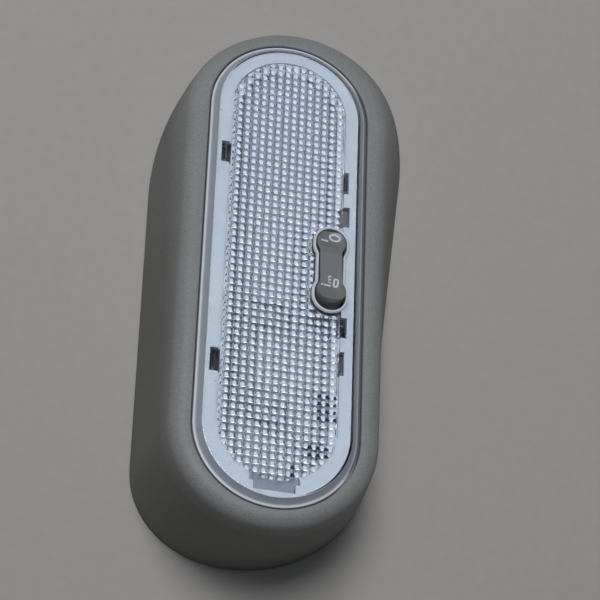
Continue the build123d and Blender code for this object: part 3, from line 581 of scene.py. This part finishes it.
def lens_mesh():
    """The whole lens as one closed skin: the prism field and flat underside, the flat top, and two profiles
    carried round, the bevel, lip and skirt outside and the collar inside. Shared points are welded."""
    loops = [lens_walk(SKIRT_R), opening_walk(0.0), opening_walk(LAND), opening_walk(LAND + 0.1)]
    loops += [lens_walk(r, FIELD_STRAIGHT, FIELD_SHIFT) for r in (FIELD_R, FIELD_R - 0.1)]
    under, under_faces = flat_triangles(loops, prism_points(), opening_walk(0.0))
    prisms = (beyond_field(under) < -0.05) & (beyond_loop(under, opening_walk(LAND)) > 0.05)
    under_w = LENS_UNDER - np.where(prisms, prism_drop(under), 0.0)
    top_r, top_grow = LENS_R - 2.5, COLLAR + 0.2
    top_hole = opening_walk(top_grow)
    top, top_faces = flat_triangles([lens_walk(top_r), top_hole], np.empty((0, 2)), top_hole)

    turn = np.linspace(0, 0.5 * math.pi, 5)
    edge = [(SKIRT_R, LENS_UNDER), (SKIRT_R, REBATE_W), (LENS_R, REBATE_W)]
    edge += [(LENS_R - LIP_ROUND + LIP_ROUND * math.cos(t), LIP_W + LIP_ROUND * math.sin(t)) for t in turn]
    edge += [(LENS_R - 0.6, LIP_TOP), (LENS_R - 0.88, LIP_TOP), (LENS_R - 0.98, -0.13), (LENS_R - 2.03, 1.29)]
    edge += [(LENS_R - 2.12, 1.41), (LENS_R - 2.26, 1.48), (LENS_R - 2.44, LENS_TOP), (top_r, LENS_TOP)]
    bend, bend_w = COLLAR_ROUND, COLLAR_TOP - COLLAR_ROUND
    rim = [(0.0, LENS_UNDER), (0.0, bend_w)]
    rim += [(bend - bend * math.cos(t), bend_w + bend * math.sin(t)) for t in turn[1:]]
    rim += [(COLLAR - bend + bend * math.sin(t), bend_w + bend * math.cos(t)) for t in turn]
    rim += [(COLLAR, LENS_TOP + 0.12), (COLLAR + 0.12, LENS_TOP), (top_grow, LENS_TOP)]
    sweeps = []
    for walk, profile in ((lens_walk, edge), (opening_walk, rim)):
        rings = [walk(out) for out, _ in profile]
        levels = [np.full(len(ring), w) for ring, (_, w) in zip(rings, profile)]
        sweeps.append(np.dstack([rings, levels]))

    corners = [np.column_stack([under, under_w]), np.column_stack([top, np.full(len(top), LENS_TOP)])]
    faces = [under_faces, top_faces + len(under)]
    count = len(under) + len(top)
    for sweep in sweeps:
        quads = grid_faces(sweep.shape[0], sweep.shape[1], False, True)
        faces += [quads[:, [0, 1, 2]] + count, quads[:, [0, 2, 3]] + count]
        corners.append(sweep.reshape(-1, 3))
        count += sweep.shape[0] * sweep.shape[1]
    every = np.concatenate(corners)
    _, first, shared = np.unique(np.round(every, 5), axis=0, return_index=True, return_inverse=True)
    faces = shared.reshape(-1)[np.concatenate(faces)]
    keep = (faces[:, 0] != faces[:, 1]) & (faces[:, 1] != faces[:, 2]) & (faces[:, 2] != faces[:, 0])
    return every[first], faces[keep]


def lens_finish(corners, faces):
    """Finish of each face, from where its middle lies: 0 clear, 1 frosted tip, 2 satin edge, 3 prism flank,
    4 bead with a painted highlight and 5 dark mark. Where more than one would hold, the first in the last
    line does."""
    middle = corners[faces].mean(axis=1)
    flat, level = middle[:, :2], middle[:, 2]
    spine = np.clip(flat[:, 1], -OPENING_STRAIGHT, OPENING_STRAIGHT)
    reach = np.hypot(flat[:, 0], flat[:, 1] - spine) - LENS_R
    hole = beyond_loop(flat, opening_walk(0.0))
    across, along = from_tip(flat)
    away = np.hypot(across, along)
    pale = (away < TIP_R - 0.05) | ((away < 0.78) & (along < -0.35) & (np.abs(across) < 0.5))
    pale &= (level < LENS_UNDER - 0.2) & (beyond_field(flat) < -0.1) & (hole > LAND + 0.1)
    white = (hole < COLLAR + 0.1) & (level > LENS_TOP + 0.02) & (hole > 0.02)
    white |= (reach > -0.6) & (reach < -0.1) & (level > -0.45)
    satin = (hole < 0.02) | (reach > -0.2) | ((reach > -2.4) & (level < 1.45))
    flank = (level < LENS_UNDER - 0.02) & (beyond_field(flat) < 0)
    shaded = np.zeros(len(flat), bool)
    for middle_u, middle_v, half_u, half_v in SHADED_PLACES:
        shaded |= (np.abs(flat[:, 0] - middle_u) < half_u) & (np.abs(flat[:, 1] - middle_v) < half_v)
    shaded &= flank & (np.abs(across) > 0.35) & (np.abs(along + 0.6) < 0.45)
    return np.select([pale, white, satin, shaded, flank], [1, 4, 2, 5, 3])


def leg_points(leg_u, leg_v):
    """Hooked leg: an L in section, stem down and hook outwards, carried along its length and closed by a row
    drawn to its middle at each end."""
    out = math.copysign(1.0, leg_u)
    section = np.array([
        (-LEG_HALF_U, LEG_TOP), (-LEG_HALF_U, LEG_FOOT), (HOOK_OUT, LEG_FOOT),
        (HOOK_OUT, HOOK_TOP), (LEG_HALF_U, HOOK_TOP), (LEG_HALF_U, LEG_TOP),
    ])
    middle = np.array([0.0, HOOK_MIDDLE])
    rows = []
    for run, size in ((-LEG_HALF_V, 0.0), (-LEG_HALF_V, 1.0), (LEG_HALF_V, 1.0), (LEG_HALF_V, 0.0)):
        shape = middle + (section - middle) * size
        rows.append(lens_to_lamp(leg_u + out * shape[:, 0], leg_v + run, shape[:, 1]))
    return np.stack(rows)


skin, skin_faces = lens_mesh()
skin_finish = lens_finish(skin, skin_faces)
mesh = bpy.data.meshes.new("lens_moulding")
mesh.from_pydata(lens_to_lamp(*skin.T).tolist(), [], skin_faces.tolist())
work = bmesh.new()
work.from_mesh(mesh)
bmesh.ops.holes_fill(work, edges=work.edges[:])
bmesh.ops.recalc_face_normals(work, faces=work.faces[:])
work.to_mesh(mesh)
work.free()
mesh.shade_smooth()
mesh.set_sharp_from_angle(angle=math.radians(38))
lens = bpy.data.objects.new("lens_moulding", mesh)
bpy.context.scene.collection.objects.link(lens)
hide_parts("lens")
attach(lens, "lamp")
lens.visible_shadow = False

legs = new_piece("lens_legs", [(leg_points(u, v), False, True) for u, v in LEG_PLACES])
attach(legs, "lamp")
legs.visible_shadow = False

# Acrylic from a polished tool: clear, with a sharp shine that a slight haze softens in places.
acrylic, tree, place, out = new_material("clear_acrylic")
haze = add_node(tree, "ShaderNodeTexNoise", [("Vector", place), ("Scale", 1 / (11.0 * MM)), ("Detail", 5.0)])
gloss = add_node(tree, "ShaderNodeMapRange", [
    ("Value", haze.outputs[0]), ("From Min", 0.35), ("From Max", 0.75), ("To Min", 0.02), ("To Max", 0.09),
])
shader = add_node(tree, "ShaderNodeBsdfPrincipled", [
    ("Base Color", linear("#f4f8fb")), ("Transmission Weight", 1.0), ("Roughness", gloss.outputs["Result"]),
    ("IOR", 1.49),
])
tree.links.new(shader.outputs[0], out.inputs["Surface"])
dress(lens, acrylic)
dress(legs, acrylic)

# The prisms' tips, with the near side of the ring round each, are drawn frosted, matt and opaque, because
# they show as small pale pearls.
pearl, tree, place, out = new_material("frosted_acrylic_tip")
cloud = add_node(tree, "ShaderNodeTexNoise", [("Vector", place), ("Scale", 1 / (5.0 * MM)), ("Detail", 3.0)])
tone = add_node(tree, "ShaderNodeMix", [
    ("Factor", cloud.outputs[0]), ("A", linear("#d8e1ec")), ("B", linear("#e6edf5")),
], data_type="RGBA")
shader = add_node(tree, "ShaderNodeBsdfPrincipled", [
    ("Base Color", tone.outputs["Result"]), ("Roughness", 0.8), ("IOR", 1.49),
])
tree.links.new(shader.outputs[0], out.inputs["Surface"])
lens.data.materials.append(pearl)

# The bevel, the skirt and the walls of the rocker's opening are drawn satin and opaque, because they look
# grey.
satin, tree, place, out = new_material("satin_acrylic_edge")
cloud = add_node(tree, "ShaderNodeTexNoise", [("Vector", place), ("Scale", 1 / (3.0 * MM)), ("Detail", 3.0)])
tone = add_node(tree, "ShaderNodeMix", [
    ("Factor", cloud.outputs[0]), ("A", linear("#b4b8bd")), ("B", linear("#c3c7cb")),
], data_type="RGBA")
gloss = add_node(tree, "ShaderNodeMapRange", [("Value", cloud.outputs[0]), ("To Min", 0.35), ("To Max", 0.5)])
shader = add_node(tree, "ShaderNodeBsdfPrincipled", [
    ("Base Color", tone.outputs["Result"]), ("Roughness", gloss.outputs["Result"]), ("IOR", 1.49),
])
tree.links.new(shader.outputs[0], out.inputs["Surface"])
lens.data.materials.append(satin)

# The prisms' flanks are clear but slightly rough, as from a lapped tool, so what they show is soft.
flank, tree, place, out = new_material("lapped_acrylic_flank")
cloud = add_node(tree, "ShaderNodeTexNoise", [("Vector", place), ("Scale", 1 / (4.0 * MM)), ("Detail", 3.0)])
gloss = add_node(tree, "ShaderNodeMapRange", [("Value", cloud.outputs[0]), ("To Min", 0.2), ("To Max", 0.28)])
shader = add_node(tree, "ShaderNodeBsdfPrincipled", [
    ("Base Color", linear("#f2f5f8")), ("Transmission Weight", 1.0), ("Roughness", gloss.outputs["Result"]),
    ("IOR", 1.49),
])
tree.links.new(shader.outputs[0], out.inputs["Surface"])
lens.data.materials.append(flank)

# The collar's round top and the lip are drawn opaque and white, a painted highlight where they shine, and
# they are toned darker on the side away from the window, a painted shade.
bead, tree, place, out = new_material("painted_highlight_acrylic_bead")
cloud = add_node(tree, "ShaderNodeTexNoise", [("Vector", place), ("Scale", 1 / (3.0 * MM)), ("Detail", 3.0)])
bead_highlight_tone = add_node(tree, "ShaderNodeMix", [
    ("Factor", cloud.outputs[0]), ("A", linear("#eff1f3")), ("B", linear("#fafbfc")),
], data_type="RGBA")
# The side away from the window is toned darker: painted shade.
split = add_node(tree, "ShaderNodeSeparateXYZ", [("Vector", place)])
away_side_shade = add_node(tree, "ShaderNodeMapRange", [
    ("Value", split.outputs["X"]), ("From Min", 0.018), ("From Max", 0.0205),
])
tone = add_node(tree, "ShaderNodeMix", [
    ("Factor", away_side_shade.outputs["Result"]), ("A", bead_highlight_tone.outputs["Result"]), ("B", linear("#787b7e")),
], data_type="RGBA")
shader = add_node(tree, "ShaderNodeBsdfPrincipled", [
    ("Base Color", tone.outputs["Result"]), ("Roughness", 0.22), ("IOR", 1.49),
])
tree.links.new(shader.outputs[0], out.inputs["Surface"])
lens.data.materials.append(bead)

# Dark marks at the near right of the field, painted on the prisms' near flanks. Their three places were set
# from the photograph: two lie partly over the tray's openings, and the third lies over none.
shade, tree, place, out = new_material("shaded_acrylic_flank")
cloud = add_node(tree, "ShaderNodeTexNoise", [("Vector", place), ("Scale", 1 / (3.0 * MM)), ("Detail", 3.0)])
tone = add_node(tree, "ShaderNodeMix", [
    ("Factor", cloud.outputs[0]), ("A", linear("#14171c")), ("B", linear("#23282f")),
], data_type="RGBA")
shader = add_node(tree, "ShaderNodeBsdfPrincipled", [
    ("Base Color", tone.outputs["Result"]), ("Roughness", 0.5), ("IOR", 1.49),
])
tree.links.new(shader.outputs[0], out.inputs["Surface"])
lens.data.materials.append(shade)
finish = np.zeros(len(lens.data.polygons), np.int32)
finish[:len(skin_finish)] = skin_finish
lens.data.polygons.foreach_set("material_index", finish)


# Rocker. One injection moulding in grey ABS, dished at both ends for a fingertip. It turns on two trunnions
# in the tray, stands up through the lens's opening and carries white pad-printed marks. A fine grain, drawn
# 0.4 mm wide so that it shows, makes it satin.
abs_rocker, tree, place, out = new_material("satin_grey_ABS")
grain = add_node(tree, "ShaderNodeTexNoise", [("Vector", place), ("Scale", 1 / (0.4 * MM)), ("Detail", 2.0)])
level = add_node(tree, "ShaderNodeMapping", [
    ("Vector", place), ("Location", LENS_SHIFT), ("Rotation", LENS_TURN), ("Scale", IN_MM),
])
split = add_node(tree, "ShaderNodeSeparateXYZ", [("Vector", level.outputs[0])])
# The dished lobes are toned darker than the waist: painted shade in the dishes.
along = add_node(tree, "ShaderNodeMath", [(0, split.outputs["Y"])], operation="ABSOLUTE")
lobe = add_node(tree, "ShaderNodeMapRange", [
    ("Value", along.outputs[0]), ("From Min", 4.9), ("From Max", 5.4),
])
waist_tone = add_node(tree, "ShaderNodeMix", [
    ("Factor", grain.outputs[0]), ("A", linear("#8a8b8c")), ("B", linear("#9c9d9e")),
], data_type="RGBA")
lobe_painted_shade_tone = add_node(tree, "ShaderNodeMix", [
    ("Factor", grain.outputs[0]), ("A", linear("#80827f")), ("B", linear("#90938f")),
], data_type="RGBA")
tone = add_node(tree, "ShaderNodeMix", [
    ("Factor", lobe.outputs["Result"]), ("A", waist_tone.outputs["Result"]),
    ("B", lobe_painted_shade_tone.outputs["Result"]),
], data_type="RGBA")
bump = add_node(tree, "ShaderNodeBump", [
    ("Height", grain.outputs[0]), ("Strength", 0.25), ("Distance", 0.0001),
])
shader = add_node(tree, "ShaderNodeBsdfPrincipled", [
    ("Base Color", tone.outputs["Result"]), ("Roughness", 0.36), ("Normal", bump.outputs["Normal"]),
    ("IOR", 1.54),
])
tree.links.new(shader.outputs[0], out.inputs["Surface"])
dress(node["switch_rocker"], abs_rocker)
ROCKER_TILT = math.radians(7.0)
PIVOT_W = -3.2
TOP_LOW, TOP_HOLLOW_R = 5.4, 63.22
LOBE_Y, DISH_R, DISH_DEPTH = 7.95, 3.1, 0.45
INK_WIDTH, INK_SUNK, INK_PROUD = 0.56, -0.03, 0.025


def rocker_top(x, y):
    """Height of the rocker's top over its pivot: a hollow of 63.2 mm radius along it, and at each lobe the
    lower of that and a ball dish of 3.1 mm radius and 0.45 mm depth."""
    ball = (DISH_R ** 2 + DISH_DEPTH ** 2) / (2 * DISH_DEPTH)
    lobe_z = TOP_LOW + TOP_HOLLOW_R - math.sqrt(TOP_HOLLOW_R ** 2 - LOBE_Y ** 2)
    along = TOP_LOW + TOP_HOLLOW_R - np.sqrt(TOP_HOLLOW_R ** 2 - y ** 2)
    away = np.minimum(np.hypot(x, np.abs(y) - LOBE_Y), 0.9 * ball)
    return np.minimum(along, lobe_z - DISH_DEPTH + ball - np.sqrt(ball ** 2 - away ** 2))


def ink_stroke(path, closed):
    """Printed line as a thin closed ribbon: each point of the path is set off to both sides along its normal,
    laid on the rocker's top, and its section of four corners is carried along and drawn in at free ends."""
    path = np.asarray(path, dtype=float)
    if closed:
        run = np.roll(path, -1, axis=0) - np.roll(path, 1, axis=0)
    else:
        run = np.gradient(path, axis=0)
    run /= np.linalg.norm(run, axis=1, keepdims=True)
    normal = np.column_stack([-run[:, 1], run[:, 0]])
    corners = []
    for side, lift in ((-0.5, INK_SUNK), (-0.5, INK_PROUD), (0.5, INK_PROUD), (0.5, INK_SUNK)):
        flat = path + normal * side * INK_WIDTH
        z = rocker_top(flat[:, 0], flat[:, 1]) + lift
        y = flat[:, 1] * math.cos(ROCKER_TILT) + z * math.sin(ROCKER_TILT)
        w = PIVOT_W - flat[:, 1] * math.sin(ROCKER_TILT) + z * math.cos(ROCKER_TILT)
        corners.append(lens_to_lamp(ROCKER_U + flat[:, 0], y, w))
    rows = np.stack(corners, axis=1)
    if not closed:
        ends = [np.repeat(rows[k].mean(axis=0)[None, None], 4, axis=1) for k in (0, -1)]
        rows = np.concatenate([ends[0], rows, ends[1]])
    return rows, closed, True


# Marks in white ink, in millimetres from the pivot: a leaning ring with a dash at the far end, and an upright
# loop with a dash and three rays at the near end. Slight wear makes the ink uneven.
RING_X, RING_Y, RING_LONG, RING_SHORT, RING_LEAN = 1.0, 9.75, 1.42, 0.92, math.radians(-14)
LOOP_X, LOOP_Y, LOOP_HALF_X, LOOP_HALF_Y, LOOP_SLANT = 1.2, -5.6, 0.55, 1.3, 0.12
DASHES = [(-2.9, -0.85, 8.5), (-3.0, -0.2, -6.75)]
RAY_START, RAY_END, RAY_LOW, RAY_GAP = -0.95, -0.1, -5.75, 0.95
round_trip = np.linspace(0, 2 * math.pi, 40, endpoint=False)
cosine, sine = np.cos(round_trip), np.sin(round_trip)
ring_x, ring_y = RING_LONG * cosine, RING_SHORT * sine
leaning_ring = np.column_stack([
    RING_X + ring_x * math.cos(RING_LEAN) - ring_y * math.sin(RING_LEAN),
    RING_Y + ring_x * math.sin(RING_LEAN) + ring_y * math.cos(RING_LEAN),
])
loop_x = LOOP_HALF_X * np.sign(cosine) * np.abs(cosine) ** 0.55
loop_y = LOOP_HALF_Y * np.sign(sine) * np.abs(sine) ** 0.75
upright_loop = np.column_stack([LOOP_X + loop_x + LOOP_SLANT * loop_y, LOOP_Y + loop_y])
strokes = [ink_stroke(leaning_ring, True), ink_stroke(upright_loop, True)]
for start_x, end_x, dash_y in DASHES:
    strokes.append(ink_stroke(np.column_stack([np.linspace(start_x, end_x, 8), np.full(8, dash_y)]), False))
for ray in range(3):
    ray_y = RAY_LOW + RAY_GAP * ray + np.linspace(-0.05, 0.28, 6) * (ray - 0.3)
    strokes.append(ink_stroke(np.column_stack([np.linspace(RAY_START, RAY_END, 6), ray_y]), False))
symbols = new_piece("rocker_symbols", strokes)
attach(symbols, "rocker")
ink, tree, place, out = new_material("pad_printed_white_ink")
wear = add_node(tree, "ShaderNodeTexNoise", [("Vector", place), ("Scale", 1 / (0.7 * MM)), ("Detail", 3.0)])
tone = add_node(tree, "ShaderNodeMix", [
    ("Factor", wear.outputs[0]), ("A", linear("#e4e5e6")), ("B", linear("#fafafa")),
], data_type="RGBA")
shader = add_node(tree, "ShaderNodeBsdfPrincipled", [
    ("Base Color", tone.outputs["Result"]), ("Roughness", 0.55), ("IOR", 1.5),
])
tree.links.new(shader.outputs[0], out.inputs["Surface"])
dress(symbols, ink)


# Floor, lights and camera. A sheet of pale matt paper, a dim room that is lighter overhead, and one soft
# window over the lamp's far left. The camera looks down on the lamp from its near left through a long lens.
paper, tree, place, out = new_material("pale_matt_paper")
fibre = add_node(tree, "ShaderNodeTexNoise", [("Vector", place), ("Scale", 1 / (3.0 * MM)), ("Detail", 5.0)])
tone = add_node(tree, "ShaderNodeMix", [
    ("Factor", fibre.outputs[0]), ("A", linear("#c6beb2")), ("B", linear("#cec7bc")),
], data_type="RGBA")
shader = add_node(tree, "ShaderNodeBsdfPrincipled", [
    ("Base Color", tone.outputs["Result"]), ("Roughness", 0.9),
])
tree.links.new(shader.outputs[0], out.inputs["Surface"])
FLOOR_HALF, FLOOR_Z = 1.5, -0.0002
edge = np.linspace(-FLOOR_HALF, FLOOR_HALF, 9)
floor_points = np.stack(np.meshgrid(edge, edge, [FLOOR_Z], indexing="ij"), -1)[:, :, 0, :]
floor = new_piece("floor", [(floor_points, False, False)])
dress(floor, paper)

scene = bpy.context.scene
scene.view_settings.view_transform = "Standard"
sky = bpy.data.worlds.new("soft_room")
sky.use_nodes = True
air = sky.node_tree
facing = add_node(air, "ShaderNodeTexCoord").outputs["Generated"]
height = add_node(air, "ShaderNodeSeparateXYZ", [("Vector", facing)]).outputs["Z"]
glow = add_node(air, "ShaderNodeMapRange", [
    ("Value", height), ("From Min", 0.5), ("From Max", 0.95), ("To Min", 0.01), ("To Max", 0.24),
])
ceiling = air.nodes["Background"]
ceiling.inputs["Color"].default_value = linear("#c9d6ea")
air.links.new(glow.outputs["Result"], ceiling.inputs["Strength"])
scene.world = sky
light = bpy.data.lights.new("window", "AREA")
light.shape, light.size, light.energy, light.color = "SQUARE", 0.5, 7.5, linear("#e6ebf4")[:3]
window = bpy.data.objects.new("window", light)
window.location = (-0.18, 0.38, 1.10)
window.rotation_euler = (-window.location).to_track_quat("-Z", "Y").to_euler()
window.visible_transmission = False
scene.collection.objects.link(window)

lens_cam = bpy.data.cameras.new("camera")
lens_cam.lens, lens_cam.sensor_width, lens_cam.sensor_fit = 144.0, 36.0, "HORIZONTAL"
camera = bpy.data.objects.new("camera", lens_cam)
camera.matrix_world = Matrix((
    (0.96792, -0.15034, -0.20124, -0.1258),
    (0.08309, 0.94765, -0.30830, -0.2077),
    (0.23706, 0.28168, 0.92976, 0.6271),
    (0, 0, 0, 1),
))
scene.collection.objects.link(camera)
scene.camera = camera
